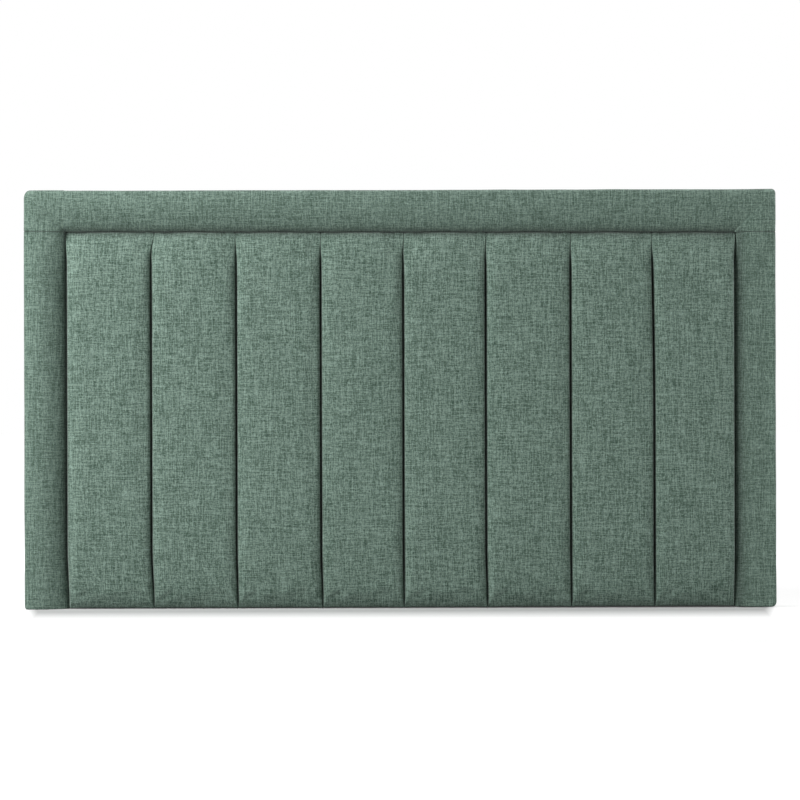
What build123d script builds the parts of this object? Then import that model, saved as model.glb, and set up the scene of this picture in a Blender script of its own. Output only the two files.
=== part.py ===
from build123d import *
import os

# Upholstered headboard with a bolster border and upright sewn channels.
# Millimetres, +Z up, front towards -Y, origin at the middle of the underside.

# Whole headboard: a 54 in by 30 in outline with a 3 in border
width = 1371.6
height = 762.0
border_width = 76.2
channel_count = 8
corner_radius = 7.0
foot_corner_radius = 3.0

# Cloth
cover_thickness = 1.2
dust_cover_thickness = 1.0
hem_reach = 25.0
foot_fold_thickness = 2.7

# Timber frame
frame_thickness = 20.0
frame_member_width = 69.0
strut_inset = 190.8
tenon_length = 20.0
tenon_thickness = 7.0
tenon_shoulder = 12.0

# Plywood panel over the frame
panel_thickness = 9.0

# Battens under the border
batten_width = 58.0
batten_thickness = 18.0
batten_inset = 8.0
batten_chamfer = 3.0

# Border crown, measured forward from the panel
border_peak_height = 40.0
border_peak_inset = 25.0
border_outer_height = 36.5
border_inner_height = 29.0
border_outer_radius = 8.0
border_inner_radius = 16.0

# Channel crown, measured forward from the panel
channel_height = 39.2
channel_rise = 2.0
channel_shoulder_radius = 14.0
channel_top_radius = 12.0
channel_bottom_radius = 22.0
channel_end_stand_off = 0.3

# Tee nuts for the bolts of the bed's struts
strut_bolt_rows = 2
strut_bolt_centre_height = 225.0
strut_bolt_pitch = 250.0
tee_nut_bore_diameter = 6.8
tee_nut_barrel_diameter = 10.0
tee_nut_barrel_length = 12.0
tee_nut_flange_diameter = 22.0
tee_nut_flange_thickness = 1.5
tee_nut_prong_count = 4
tee_nut_prong_circle = 17.0
tee_nut_prong_width = 3.0
tee_nut_prong_thickness = 1.2
tee_nut_prong_length = 6.0

# Dust cover on the back
dust_cover_inset = 12.0
dust_cover_hole_diameter = 14.0

# Staples, all of one wire: short ones on the back, long ones through the panel and the battens
staple_crown = 12.7
staple_wire_width = 1.0
staple_wire_thickness = 0.6
dust_staple_leg = 8.0
panel_staple_leg = 23.0
batten_staple_leg = 41.0
staple_inset = 18.0
rail_staple_count = 8
rail_staple_end_inset = 108.3
upright_staple_count = 3
upright_staple_pitch = 200.0
upright_staple_centre_height = 380.0
side_staple_count = 4
side_staple_end_inset = 156.0

# Levels of the layers, from the dust cover forward
panel_front_depth = dust_cover_thickness + cover_thickness + frame_thickness + panel_thickness
depth = panel_front_depth + max(border_peak_height, channel_height)
back_y = depth / 2
hem_back_y = back_y - dust_cover_thickness
frame_back_y = hem_back_y - cover_thickness
frame_front_y = frame_back_y - frame_thickness
tenon_back_y = (frame_back_y + frame_front_y + tenon_thickness) / 2
panel_front_y = frame_front_y - panel_thickness
batten_front_y = panel_front_y - batten_thickness

# Places across the front
edge_x = width / 2
core_edge_x = edge_x - cover_thickness
core_top_z = height - cover_thickness
channel_edge_x = edge_x - border_width
channel_width = (width - 2 * border_width) / channel_count
border_seam_z = height - border_width
channel_foot_z = foot_fold_thickness - cover_thickness
stile_inner_x = core_edge_x - frame_member_width
bottom_rail_top_z = foot_fold_thickness + frame_member_width
bottom_rail_middle_z = foot_fold_thickness + frame_member_width / 2
tenon_width = frame_member_width - 2 * tenon_shoulder
top_rail_bottom_z = core_top_z - frame_member_width
top_rail_middle_z = core_top_z - frame_member_width / 2
upright_length = top_rail_bottom_z - bottom_rail_top_z
upright_middle_z = (top_rail_bottom_z + bottom_rail_top_z) / 2
batten_middle_inset = batten_inset + batten_width / 2
side_batten_top_z = height - batten_inset - batten_width
side_batten_foot_z = foot_fold_thickness + batten_inset
side_batten_length = side_batten_top_z - side_batten_foot_z
side_batten_middle_z = (side_batten_top_z + side_batten_foot_z) / 2
strut_spacing = width - 2 * strut_inset
rail_staple_pitch = (width - 2 * rail_staple_end_inset) / (rail_staple_count - 1)
side_staple_pitch = (height - 2 * side_staple_end_inset) / (side_staple_count - 1)
sides = {"left": -1, "right": 1}

os.makedirs("parts", exist_ok=True)


def front_view(y):
    """Plane at depth y whose sketches read as X and Z and are extruded towards the front."""
    return Plane.XZ.offset(-y)


def driven_back(x, y, z):
    """Plane at a point of the front view, facing back, for what is driven in from the front."""
    return Plane(origin=(x, y, z), x_dir=(1, 0, 0), z_dir=(0, 1, 0))


def driven_forward(x, y, z, along=(1, 0, 0)):
    """Plane at a point of the back view, facing the front, with its own X along a direction."""
    return Plane(origin=(x, y, z), x_dir=along, z_dir=(0, -1, 0))


def spread(count, pitch, middle=0):
    """Places of a row of equal pitch about its middle."""
    return [middle + (index - (count - 1) / 2) * pitch for index in range(count)]


def corner_waste(corner_x, corner_z, radius):
    """What rounding takes off a square corner of the front outline, through the whole depth."""
    centre_x = corner_x - radius if corner_x > 0 else corner_x + radius
    centre_z = corner_z - radius if corner_z > height / 2 else corner_z + radius
    with BuildPart() as waste:
        with BuildSketch(front_view(back_y)):
            with Locations((corner_x, corner_z)):
                Rectangle(2 * radius, 2 * radius)
            with Locations((centre_x, centre_z)):
                Circle(radius, mode=Mode.SUBTRACT)
        extrude(amount=depth)
    return waste.part


# Front outline of everything under the cover
with BuildSketch() as core_outline:
    with BuildLine():
        Polyline(
            (-core_edge_x, foot_fold_thickness),
            (core_edge_x, foot_fold_thickness),
            (core_edge_x, core_top_z),
            (-core_edge_x, core_top_z),
            close=True,
        )
    make_face()
    fillet(core_outline.vertices().group_by(Axis.Y)[-1], corner_radius - cover_thickness)

# Room taken by the frame and the panel
with BuildPart() as carcass:
    with BuildSketch(front_view(frame_back_y)):
        add(core_outline.sketch)
    extrude(amount=frame_thickness + panel_thickness)

# Bare part of the back inside the hems
with BuildPart() as hem_window:
    with BuildSketch(front_view(back_y)):
        with Locations((0, height / 2)):
            Rectangle(width - 2 * hem_reach, height - 2 * hem_reach)
    extrude(amount=dust_cover_thickness + cover_thickness)


def staple(leg):
    """Staple with its crown flush at the origin and its legs along +Z."""
    with BuildPart() as wire:
        with BuildSketch(Plane.XZ):
            Rectangle(staple_crown, leg, align=(Align.CENTER, Align.MIN))
            with Locations((0, staple_wire_thickness)):
                Rectangle(
                    staple_crown - 2 * staple_wire_thickness,
                    leg,
                    align=(Align.CENTER, Align.MIN),
                    mode=Mode.SUBTRACT,
                )
        extrude(amount=staple_wire_width / 2, both=True)
    return wire.part


# Panel staples: along the bottom rail and up the three uprights
rail_staples_x = spread(rail_staple_count, rail_staple_pitch)
panel_staple_places = [(x, bottom_rail_middle_z) for x in rail_staples_x] + [
    (x, z)
    for x in spread(3, strut_spacing / 2)
    for z in spread(upright_staple_count, upright_staple_pitch, upright_staple_centre_height)
]
with BuildPart() as panel_staples:
    with Locations(*[driven_back(x, panel_front_y, z) for x, z in panel_staple_places]):
        add(staple(panel_staple_leg))
panel_staples.part.label = "panel_staples"
export_step(panel_staples.part, "parts/panel_staples.step")

# Batten staples: through the batten and the panel into the frame
batten_staple_places = [(x, height - batten_middle_inset) for x in rail_staples_x] + [
    (sign * (edge_x - batten_middle_inset), z)
    for sign in sides.values()
    for z in spread(side_staple_count, side_staple_pitch, side_batten_middle_z)
]
with BuildPart() as batten_staples:
    with Locations(*[driven_back(x, batten_front_y, z) for x, z in batten_staple_places]):
        add(staple(batten_staple_leg))
batten_staples.part.label = "batten_staples"
export_step(batten_staples.part, "parts/batten_staples.step")

# Dust cover staples: through the dust cover and the hems into the frame
foot_staple_places = [(x, staple_inset) for x in spread(channel_count, channel_width)] + [
    (sign * (edge_x - border_width / 2), staple_inset) for sign in sides.values()
]
top_staple_places = [(x, height - staple_inset) for x in rail_staples_x]
side_staple_places = [
    (sign * (edge_x - staple_inset), z)
    for sign in sides.values()
    for z in spread(side_staple_count, side_staple_pitch, height / 2)
]
with BuildPart() as dust_cover_staples:
    with Locations(*[driven_forward(x, back_y, z) for x, z in foot_staple_places + top_staple_places]):
        add(staple(dust_staple_leg))
    with Locations(*[driven_forward(x, back_y, z, along=(0, 0, 1)) for x, z in side_staple_places]):
        add(staple(dust_staple_leg))
dust_cover_staples.part.label = "dust_cover_staples"
export_step(dust_cover_staples.part, "parts/dust_cover_staples.step")

# Tee nuts: flange in a recess of the upright's front face, threaded barrel and prongs behind it
strut_bolt_places = [
    (sign * strut_spacing / 2, z)
    for sign in sides.values()
    for z in spread(strut_bolt_rows, strut_bolt_pitch, strut_bolt_centre_height)
]
with BuildPart() as tee_nut:
    from_flange = (Align.CENTER, Align.CENTER, Align.MIN)
    Cylinder(tee_nut_flange_diameter / 2, tee_nut_flange_thickness, align=from_flange)
    Cylinder(tee_nut_barrel_diameter / 2, tee_nut_barrel_length, align=from_flange)
    with PolarLocations(tee_nut_prong_circle / 2, tee_nut_prong_count):
        Box(
            tee_nut_prong_thickness,
            tee_nut_prong_width,
            tee_nut_flange_thickness + tee_nut_prong_length,
            align=from_flange,
        )
with BuildPart() as tee_nuts:
    with Locations(*[driven_back(x, frame_front_y, z) for x, z in strut_bolt_places]):
        add(tee_nut.part)
        Cylinder(
            tee_nut_bore_diameter / 2, tee_nut_barrel_length, align=from_flange, mode=Mode.SUBTRACT
        )
tee_nuts.part.label = "tee_nuts"
export_step(tee_nuts.part, "parts/tee_nuts.step")

# Holes in the uprights that the tee nuts are hammered into
with BuildPart() as tee_nut_seats:
    with Locations(*[driven_back(x, frame_front_y, z) for x, z in strut_bolt_places]):
        add(tee_nut.part)
        Cylinder(tee_nut_barrel_diameter / 2, frame_thickness, align=from_flange)

# Tenons: stubs at the ends of the rails and of the uprights
with BuildPart() as rail_tenons:
    with BuildSketch(front_view(tenon_back_y)):
        for middle_z in (bottom_rail_middle_z, top_rail_middle_z):
            with Locations((0, middle_z)):
                Rectangle(2 * (stile_inner_x + tenon_length), tenon_width)
    extrude(amount=tenon_thickness)

with BuildPart() as upright_tenons:
    with BuildSketch(front_view(tenon_back_y)):
        for middle_x in spread(3, strut_spacing / 2):
            with Locations((middle_x, upright_middle_z)):
                Rectangle(tenon_width, upright_length + 2 * tenon_length)
    extrude(amount=tenon_thickness)

# Frame stiles: full height, rounded at the top outer corner, with mortises for the rails
for side, sign in sides.items():
    with BuildPart() as frame_stile:
        with BuildSketch(front_view(frame_back_y)):
            add(core_outline.sketch)
            with Locations((sign * (core_edge_x - frame_member_width / 2), height / 2)):
                Rectangle(frame_member_width, height, mode=Mode.INTERSECT)
        extrude(amount=frame_thickness)
        add(rail_tenons.part, mode=Mode.SUBTRACT)
        add(batten_staples.part, mode=Mode.SUBTRACT)
        add(dust_cover_staples.part, mode=Mode.SUBTRACT)
    frame_stile.part.label = f"frame_{side}_stile"
    export_step(frame_stile.part, f"parts/frame_{side}_stile.step")

# Frame rails between the stiles, with mortises for the uprights
for level, middle_z in {"bottom": bottom_rail_middle_z, "top": top_rail_middle_z}.items():
    with BuildPart() as frame_rail:
        with BuildSketch(front_view(frame_back_y)):
            with Locations((0, middle_z)):
                Rectangle(2 * stile_inner_x, frame_member_width)
        extrude(amount=frame_thickness)
        with BuildSketch(front_view(tenon_back_y)):
            with Locations((0, middle_z)):
                Rectangle(2 * (stile_inner_x + tenon_length), tenon_width)
        extrude(amount=tenon_thickness)
        add(upright_tenons.part, mode=Mode.SUBTRACT)
        add(panel_staples.part, mode=Mode.SUBTRACT)
        add(batten_staples.part, mode=Mode.SUBTRACT)
        add(dust_cover_staples.part, mode=Mode.SUBTRACT)
    frame_rail.part.label = f"frame_{level}_rail"
    export_step(frame_rail.part, f"parts/frame_{level}_rail.step")

# Uprights between the rails: two that take the strut bolts, and one at the centre
upright_names = ("strut_upright_left", "frame_centre_upright", "strut_upright_right")
for name, middle_x in zip(upright_names, spread(3, strut_spacing / 2)):
    with BuildPart() as frame_upright:
        with BuildSketch(front_view(frame_back_y)):
            with Locations((middle_x, upright_middle_z)):
                Rectangle(frame_member_width, upright_length)
        extrude(amount=frame_thickness)
        with BuildSketch(front_view(tenon_back_y)):
            with Locations((middle_x, upright_middle_z)):
                Rectangle(tenon_width, upright_length + 2 * tenon_length)
        extrude(amount=tenon_thickness)
        add(panel_staples.part, mode=Mode.SUBTRACT)
        add(tee_nut_seats.part, mode=Mode.SUBTRACT)
    frame_upright.part.label = name
    export_step(frame_upright.part, f"parts/{name}.step")

# Plywood panel over the whole front of the frame
with BuildPart() as front_panel:
    with BuildSketch(front_view(frame_front_y)):
        add(core_outline.sketch)
    extrude(amount=panel_thickness)
    add(panel_staples.part, mode=Mode.SUBTRACT)
    add(batten_staples.part, mode=Mode.SUBTRACT)
front_panel.part.label = "front_panel"
export_step(front_panel.part, "parts/front_panel.step")

# Battens under the border, with their outer front edges taken off
with BuildPart() as border_top_batten:
    with BuildSketch(front_view(panel_front_y)):
        with Locations((0, height - batten_middle_inset)):
            Rectangle(width - 2 * batten_inset, batten_width)
    extrude(amount=batten_thickness)
    front_edges = border_top_batten.faces().sort_by(Axis.Y)[0].edges()
    chamfer(front_edges.sort_by(Axis.Z)[1:], batten_chamfer)
    add(batten_staples.part, mode=Mode.SUBTRACT)
border_top_batten.part.label = "border_top_batten"
export_step(border_top_batten.part, "parts/border_top_batten.step")

side_battens = {}
for side, sign in sides.items():
    with BuildPart() as border_side_batten:
        with BuildSketch(front_view(panel_front_y)):
            with Locations((sign * (edge_x - batten_middle_inset), side_batten_middle_z)):
                Rectangle(batten_width, side_batten_length)
        extrude(amount=batten_thickness)
        front_edges = border_side_batten.faces().sort_by(Axis.Y)[0].edges()
        outer_edge = front_edges.sort_by(Axis.X)[-1 if sign > 0 else 0]
        chamfer([outer_edge, front_edges.sort_by(Axis.Z)[0]], batten_chamfer)
        add(batten_staples.part, mode=Mode.SUBTRACT)
    border_side_batten.part.label = f"border_{side}_batten"
    export_step(border_side_batten.part, f"parts/border_{side}_batten.step")
    side_battens[side] = border_side_batten.part

# Plan section of the border at the left side, with its crown highest near the outer edge
with BuildSketch() as border_section:
    with BuildLine():
        peak = (-edge_x + border_peak_inset, panel_front_y - border_peak_height)
        outer_shoulder = (-edge_x, panel_front_y - border_outer_height)
        inner_shoulder = (-channel_edge_x, panel_front_y - border_inner_height)
        TangentArc(peak, outer_shoulder, tangent=(-1, 0))
        TangentArc(peak, inner_shoulder, tangent=(1, 0))
        Polyline(
            outer_shoulder,
            (-edge_x, hem_back_y),
            (-channel_edge_x, hem_back_y),
            inner_shoulder,
        )
    make_face()
    front_corners = border_section.vertices().filter_by(lambda corner: corner.Y < panel_front_y)
    fillet(front_corners.sort_by(Axis.X)[0], border_outer_radius)
    front_corners = border_section.vertices().filter_by(lambda corner: corner.Y < panel_front_y)
    fillet(front_corners.sort_by(Axis.X)[-1], border_inner_radius)

# The border runs up one side, across the top and down the other, mitred at both corners
with BuildLine(Plane.XZ) as border_route:
    Polyline((-edge_x, 0), (-edge_x, height), (edge_x, height), (edge_x, 0))

with BuildPart() as border_block:
    sweep(border_section.sketch, path=border_route.line, transition=Transition.RIGHT)
    for sign in sides.values():
        add(corner_waste(sign * edge_x, height, corner_radius), mode=Mode.SUBTRACT)
        add(corner_waste(sign * edge_x, 0, foot_corner_radius), mode=Mode.SUBTRACT)

# The same without its cover, from the fold of the foot up
with BuildSketch(Plane.XY.offset(foot_fold_thickness)) as border_core_section:
    add(border_section.sketch)
    offset(amount=-cover_thickness, mode=Mode.REPLACE)

with BuildLine(Plane.XZ) as border_core_route:
    Polyline(
        (-edge_x, foot_fold_thickness),
        (-edge_x, height),
        (edge_x, height),
        (edge_x, foot_fold_thickness),
    )

with BuildPart() as border_core:
    sweep(border_core_section.sketch, path=border_core_route.line, transition=Transition.RIGHT)
    core_corner_radius = corner_radius - cover_thickness
    for sign in sides.values():
        add(corner_waste(sign * core_edge_x, core_top_z, core_corner_radius), mode=Mode.SUBTRACT)

# Border cover: crown, outer side, inner side, folded foot and the hem on the back
with BuildPart() as border_cover:
    add(border_block.part)
    add(border_core.part, mode=Mode.SUBTRACT)
    add(carcass.part, mode=Mode.SUBTRACT)
    add(hem_window.part, mode=Mode.SUBTRACT)
    add(dust_cover_staples.part, mode=Mode.SUBTRACT)

# Border foam: the core in front of the panel, round the battens
with BuildPart() as border_foam:
    add(border_core.part)
    split(bisect_by=front_view(panel_front_y), keep=Keep.TOP)
    add(border_top_batten.part, mode=Mode.SUBTRACT)
    for batten in side_battens.values():
        add(batten, mode=Mode.SUBTRACT)
    add(batten_staples.part, mode=Mode.SUBTRACT)

# Both are cut level at the foot of the top rail, where the cover has its seams
seam_plane = Plane.XY.offset(border_seam_z)
for whole, material in ((border_cover, "cover"), (border_foam, "foam")):
    with BuildPart() as border_top:
        add(whole.part)
        split(bisect_by=seam_plane, keep=Keep.TOP)
    border_top.part.label = f"border_top_{material}"
    export_step(border_top.part, f"parts/border_top_{material}.step")
    for side, sign in sides.items():
        with BuildPart() as border_side:
            add(whole.part)
            split(bisect_by=seam_plane, keep=Keep.BOTTOM)
            split(bisect_by=Plane.YZ, keep=Keep.TOP if sign > 0 else Keep.BOTTOM)
        border_side.part.label = f"border_{side}_{material}"
        export_step(border_side.part, f"parts/border_{side}_{material}.step")

# Plan section of one channel: a low crown between two round shoulders
with BuildSketch() as channel_section:
    with BuildLine():
        crown = (0, panel_front_y - channel_height)
        left_shoulder = (-channel_width / 2, panel_front_y - channel_height + channel_rise)
        right_shoulder = (channel_width / 2, panel_front_y - channel_height + channel_rise)
        ThreePointArc(left_shoulder, crown, right_shoulder)
        Polyline(
            right_shoulder,
            (channel_width / 2, hem_back_y),
            (-channel_width / 2, hem_back_y),
            left_shoulder,
        )
    make_face()
    fillet(channel_section.vertices().group_by(Axis.Y)[0], channel_shoulder_radius)

# Side profile of a channel, drawn as Y and Z: it turns in at the top rail and rolls under at the foot
with BuildSketch() as channel_profile:
    with BuildLine():
        profile_front_y = panel_front_y - channel_height - channel_end_stand_off
        Polyline(
            (profile_front_y, channel_foot_z),
            (hem_back_y, channel_foot_z),
            (hem_back_y, border_seam_z),
            (profile_front_y, border_seam_z),
            close=True,
        )
    make_face()
    front_corners = channel_profile.vertices().group_by(Axis.X)[0].sort_by(Axis.Y)
    fillet(front_corners[0], channel_bottom_radius)
    front_corners = channel_profile.vertices().filter_by(lambda corner: corner.Y > height / 2)
    fillet(front_corners.sort_by(Axis.X)[0], channel_top_radius)

with BuildPart() as channel_block:
    with BuildSketch(Plane.XY.offset(channel_foot_z)):
        add(channel_section.sketch)
    extrude(amount=border_seam_z - channel_foot_z)
    with BuildSketch(Plane.YZ.offset(-channel_width / 2)):
        add(channel_profile.sketch)
    extrude(amount=channel_width, mode=Mode.INTERSECT)

with BuildPart() as channel_core:
    with BuildSketch(Plane.XY.offset(channel_foot_z)):
        add(channel_section.sketch)
        offset(amount=-cover_thickness, mode=Mode.REPLACE)
    extrude(amount=border_seam_z - channel_foot_z)
    with BuildSketch(Plane.YZ.offset(-channel_width / 2)):
        add(channel_profile.sketch)
        offset(amount=-cover_thickness, mode=Mode.REPLACE)
    extrude(amount=channel_width, mode=Mode.INTERSECT)

# One channel's cover: crown, sewn sides, rolled foot and the hem on the back
with BuildPart() as channel_shell:
    add(channel_block.part)
    add(channel_core.part, mode=Mode.SUBTRACT)
    add(carcass.part, mode=Mode.SUBTRACT)
    add(hem_window.part, mode=Mode.SUBTRACT)

with BuildPart() as channel_strip:
    add(channel_core.part)
    split(bisect_by=front_view(panel_front_y), keep=Keep.TOP)

for number, middle_x in enumerate(spread(channel_count, channel_width), start=1):
    with BuildPart() as channel_cover:
        with Locations((middle_x, 0, 0)):
            add(channel_shell.part)
        add(dust_cover_staples.part, mode=Mode.SUBTRACT)
    channel_cover.part.label = f"channel_cover_{number}"
    export_step(channel_cover.part, f"parts/channel_cover_{number}.step")

    with BuildPart() as channel_foam:
        with Locations((middle_x, 0, 0)):
            add(channel_strip.part)
    channel_foam.part.label = f"channel_foam_{number}"
    export_step(channel_foam.part, f"parts/channel_foam_{number}.step")

# Dust cover over the back, open at the strut bolts
with BuildPart() as dust_cover:
    with BuildSketch(front_view(back_y)):
        with Locations((0, height / 2)):
            Rectangle(width - 2 * dust_cover_inset, height - 2 * dust_cover_inset)
        with Locations(*strut_bolt_places):
            Circle(dust_cover_hole_diameter / 2, mode=Mode.SUBTRACT)
    extrude(amount=dust_cover_thickness)
    add(dust_cover_staples.part, mode=Mode.SUBTRACT)
dust_cover.part.label = "dust_cover"
export_step(dust_cover.part, "parts/dust_cover.step")
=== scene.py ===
# %% [markdown]
# # A channelled headboard, dressed over its frame
# The frame holds the timber, the panel, the battens and plain solids for everything soft. This
# lesson gives each soft part its real form in cloth and foam, finishes every surface with a
# procedural material, and sets the camera and the light. The frame is loaded first and never
# moved: all that follows is placed by measuring it.

import math

import bpy
import numpy as np
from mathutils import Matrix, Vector, noise


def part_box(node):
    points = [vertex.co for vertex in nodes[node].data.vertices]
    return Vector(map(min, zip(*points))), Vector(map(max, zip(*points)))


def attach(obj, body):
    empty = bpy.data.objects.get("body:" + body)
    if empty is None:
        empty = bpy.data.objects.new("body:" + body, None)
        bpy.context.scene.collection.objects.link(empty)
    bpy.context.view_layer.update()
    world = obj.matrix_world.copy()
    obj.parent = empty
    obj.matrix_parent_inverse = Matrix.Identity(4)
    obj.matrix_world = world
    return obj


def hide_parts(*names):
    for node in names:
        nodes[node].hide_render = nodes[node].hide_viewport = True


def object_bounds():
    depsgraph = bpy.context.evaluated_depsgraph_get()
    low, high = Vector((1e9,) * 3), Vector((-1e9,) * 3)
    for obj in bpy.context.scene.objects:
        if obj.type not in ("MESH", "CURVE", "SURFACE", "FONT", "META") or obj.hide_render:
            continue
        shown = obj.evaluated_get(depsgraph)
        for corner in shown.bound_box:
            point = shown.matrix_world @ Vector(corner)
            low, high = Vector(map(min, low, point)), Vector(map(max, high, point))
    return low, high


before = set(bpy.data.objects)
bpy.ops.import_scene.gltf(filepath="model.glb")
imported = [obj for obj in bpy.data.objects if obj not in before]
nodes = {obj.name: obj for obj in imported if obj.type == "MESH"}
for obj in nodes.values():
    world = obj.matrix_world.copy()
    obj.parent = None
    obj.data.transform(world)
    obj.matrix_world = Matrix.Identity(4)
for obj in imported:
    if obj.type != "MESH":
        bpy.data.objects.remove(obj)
cad_low, cad_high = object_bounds()
print("CAD box", tuple(cad_low), tuple(cad_high))

# %% [markdown]
# ## Reading sizes from the frame
# A node's box says where the real piece is, so most places below come from boxes. Numbers that a
# box can't give, such as a crown's height at its peak, are written in millimetres and turned into
# metres by one factor.

# %% Sizes
mm = 0.001
edge_x = cad_high.x
top_z = cad_high.z
back_y = cad_high.y
panel_front_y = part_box("front_panel")[0].y
frame_back_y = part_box("frame_left_stile")[1].y
hem_back_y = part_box("border_left_cover")[1].y
seam_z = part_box("border_top_cover")[0].z
channel_foot_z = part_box("channel_cover_1")[0].z
crown_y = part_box("channel_cover_1")[0].y
channel_count = sum(name.startswith("channel_cover_") for name in nodes)
channel_edge_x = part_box("channel_cover_1")[0].x
channel_width = -2 * channel_edge_x / channel_count
border_width = top_z - seam_z
proud = 2 * mm
crown_height = panel_front_y - crown_y + proud
cloth_thickness = hem_back_y - frame_back_y
print("border", border_width, "channels", channel_count, "of", channel_width)

# %% [markdown]
# ## Camera
# The photograph is a product shot, square on and from far off, so a long lens at six metres keeps
# the sides out of sight. The level edges of the picture slope by a fifth of a degree: most of that
# is the camera's roll, and the rest is the cover, whose foot rises a little towards the right.

# %% Camera
camera_distance = 6.0
picture_width = 1457.4 * mm
picture_centre_x = -0.1 * mm
picture_centre_z = 380.2 * mm
roll = math.radians(0.16)
sensor = 36.0


def placed(name, data):
    """A new object in the scene, for a mesh, a camera or a lamp."""
    piece = bpy.data.objects.new(name, data)
    bpy.context.scene.collection.objects.link(piece)
    return piece


camera_data = bpy.data.cameras.new("camera")
camera_data.sensor_width = sensor
camera_data.lens = sensor * camera_distance / picture_width
camera = placed("camera", camera_data)
camera.location = (picture_centre_x, crown_y - camera_distance, picture_centre_z)
camera.rotation_euler = (math.pi / 2, roll, 0)
bpy.context.scene.camera = camera
bpy.context.scene.view_settings.view_transform = "Standard"
print("lens", round(camera_data.lens, 1), "mm")

# %% [markdown]
# ## Helpers for node trees
# Materials are written as small graphs. The first two helpers set or link a node's inputs and add
# a node. The others are the plain kinds of node that come back often, each as one call.

# %% Node helpers
def set_inputs(tree, node, values):
    """Sets a node's inputs, or links them where the value is a socket."""
    for place, value in values.items():
        if isinstance(value, bpy.types.NodeSocket):
            tree.links.new(value, node.inputs[place])
        else:
            node.inputs[place].default_value = value


def made(tree, kind, inputs, **settings):
    """A new node of a kind, with its settings, and its inputs by name or number."""
    node = tree.nodes.new(kind)
    for name, value in settings.items():
        setattr(node, name, value)
    set_inputs(tree, node, inputs)
    return node


def new_material(name):
    """A material with an empty node tree, its output and its main shader."""
    material = bpy.data.materials.new(name)
    material.use_nodes = True
    tree = material.node_tree
    tree.nodes.clear()
    shader = made(tree, "ShaderNodeBsdfPrincipled", {})
    made(tree, "ShaderNodeOutputMaterial", {"Surface": shader.outputs["BSDF"]})
    return material, tree, shader


def arithmetic(tree, operation, *values):
    """The result of a Math node on sockets or numbers."""
    return made(tree, "ShaderNodeMath", dict(enumerate(values)), operation=operation).outputs[0]


def joined(tree, x, y, z):
    """Three numbers or sockets as one vector."""
    return made(tree, "ShaderNodeCombineXYZ", {0: x, 1: y, 2: z}).outputs[0]


def parted(tree, vector):
    """A vector's x, y and z."""
    return made(tree, "ShaderNodeSeparateXYZ", {0: vector}).outputs


# %% [markdown]
# ## Textures and colours
# Most finishes here mix two colours by a noise and take their bumps from the same noise, so that
# pale and dark follow the relief. Colours are written as they look on a screen and turned into
# amounts of light, which a shader works in.

# %% Texture helpers
def cloudy(tree, vector, scale, detail=1.0, roughness=0.5):
    """A noise texture's value at a vector, from 0 to 1 about a mean of a half."""
    inputs = {"Vector": vector, "Scale": scale, "Detail": detail, "Roughness": roughness}
    return made(tree, "ShaderNodeTexNoise", inputs).outputs[0]


def blend(tree, factor, first, second):
    """A number between two, at a factor."""
    return made(tree, "ShaderNodeMix", {0: factor, 2: first, 3: second}).outputs[0]


def between(tree, factor, first, second):
    """A colour between two, at a factor."""
    return made(tree, "ShaderNodeMix", {0: factor, 6: first, 7: second}, data_type="RGBA").outputs[2]


def raised(tree, shader, height, distance, strength):
    """Gives a shader the bumps of a height."""
    bump = made(tree, "ShaderNodeBump", {"Strength": strength, "Distance": distance, "Height": height})
    set_inputs(tree, shader, {"Normal": bump.outputs["Normal"]})


def as_light(red, green, blue):
    """A colour written as it looks on a screen, from 0 to 255, as the light that makes it."""
    shares = [value / 255 for value in (red, green, blue)]
    return (*[s / 12.92 if s <= 0.04045 else ((s + 0.055) / 1.055) ** 2.4 for s in shares], 1.0)


# %% [markdown]
# ## The upholstery cloth
# The cloth is a linen-look plain weave of melange yarn: every yarn changes from pale to dark along
# its length, which shows as short level and upright streaks. The graph works as the loom does. It
# numbers the yarns both ways, gives each its own colours, and lets warp and weft lie on top in
# turn. It reads the piece's own UV map, in metres of cloth, so the weave follows the cloth round
# corners and into seams. Shade along the seams is painted: an attribute darkens the colour there.
# The border's cloth is pulled tighter, so its slubs show less contrast.

# %% Upholstery cloth
yarn_pitch = 0.92 * mm
yarn_wander = 2 * mm
waves_to_a_metre = 28.0
long_slub = 30 * mm
short_slub = 5.6 * mm
yarn_dark = as_light(54, 78, 65)
yarn_pale = as_light(141, 165, 152)
pale_yarns_rarer = 1.5


def yarn_tone(tree, along, number, offset):
    """Pale or dark along one yarn: half a long drift and half short slubs, both the yarn's own."""
    own = arithmetic(tree, "MULTIPLY", number, 7.31)
    tones = []
    for slub, shift in ((long_slub, 0), (short_slub, 5)):
        place = joined(tree, arithmetic(tree, "DIVIDE", along, slub), own, offset + shift)
        tones.append(cloudy(tree, place, 1.0, 0.0))
    return blend(tree, 0.5, *tones)


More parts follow.
